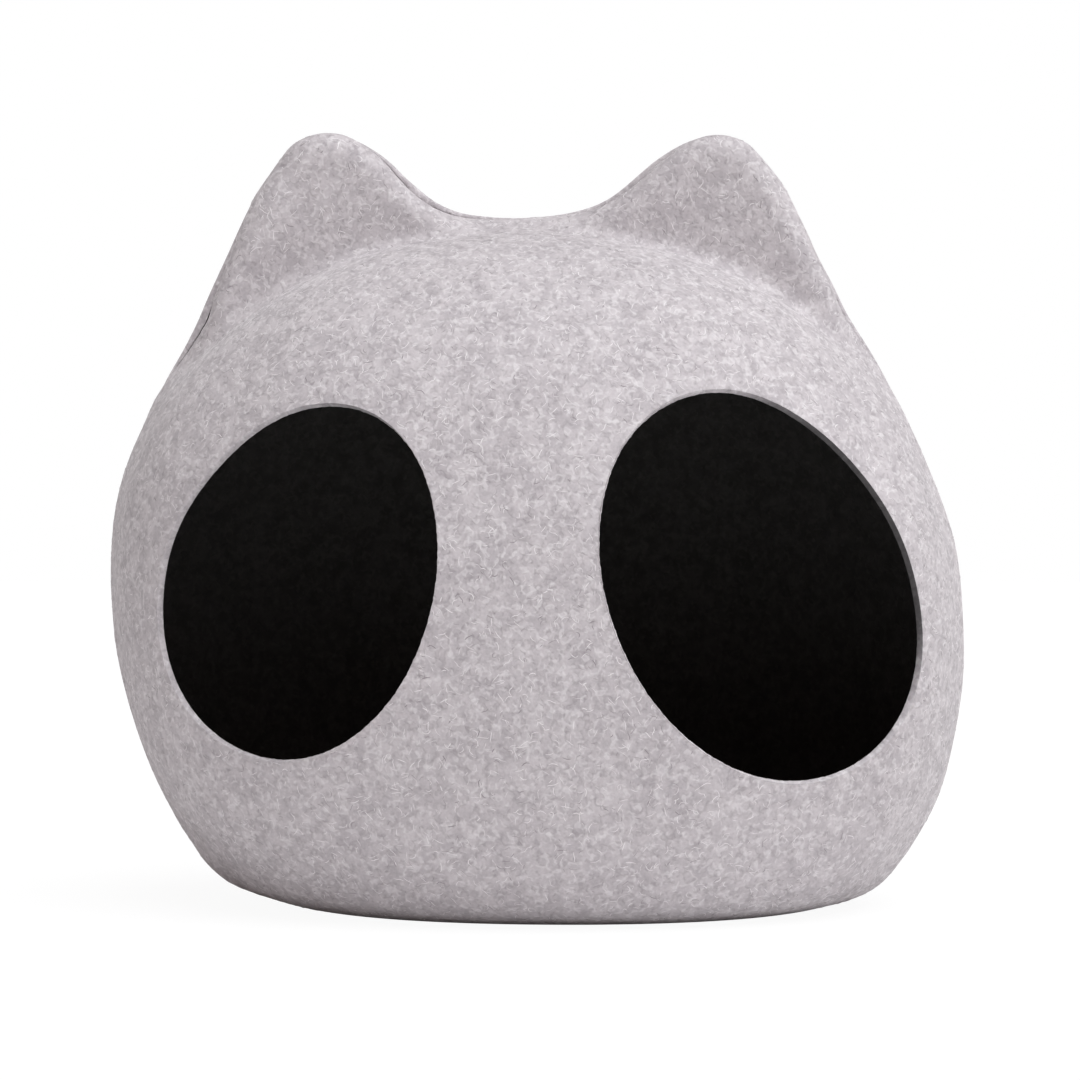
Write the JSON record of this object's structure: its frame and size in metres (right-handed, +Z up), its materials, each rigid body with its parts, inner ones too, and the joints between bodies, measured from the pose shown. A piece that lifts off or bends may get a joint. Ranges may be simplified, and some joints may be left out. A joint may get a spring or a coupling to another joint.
{
  "type": "felt cat cave",
  "caption": "Rounded felt cat cave with pointed ears and slanted oval openings, pressed in a front and a back shell that meet along a seam.",
  "frame": {"origin": "on the floor, under the middle of the cave's width and depth", "axes": "+Z up, -Y towards the front with the openings, +X across, to the right as the front is seen"},
  "size_m": [0.4156, 0.32, 0.3751],
  "materials": {
    "grey_felt": "light grey moulded polyester felt, matt and slightly mottled, with fine curled fibres on its face"
  },
  "bodies": {
    "root": {"front_shell": "grey_felt", "back_shell": "grey_felt"}
  },
  "joints": []
}
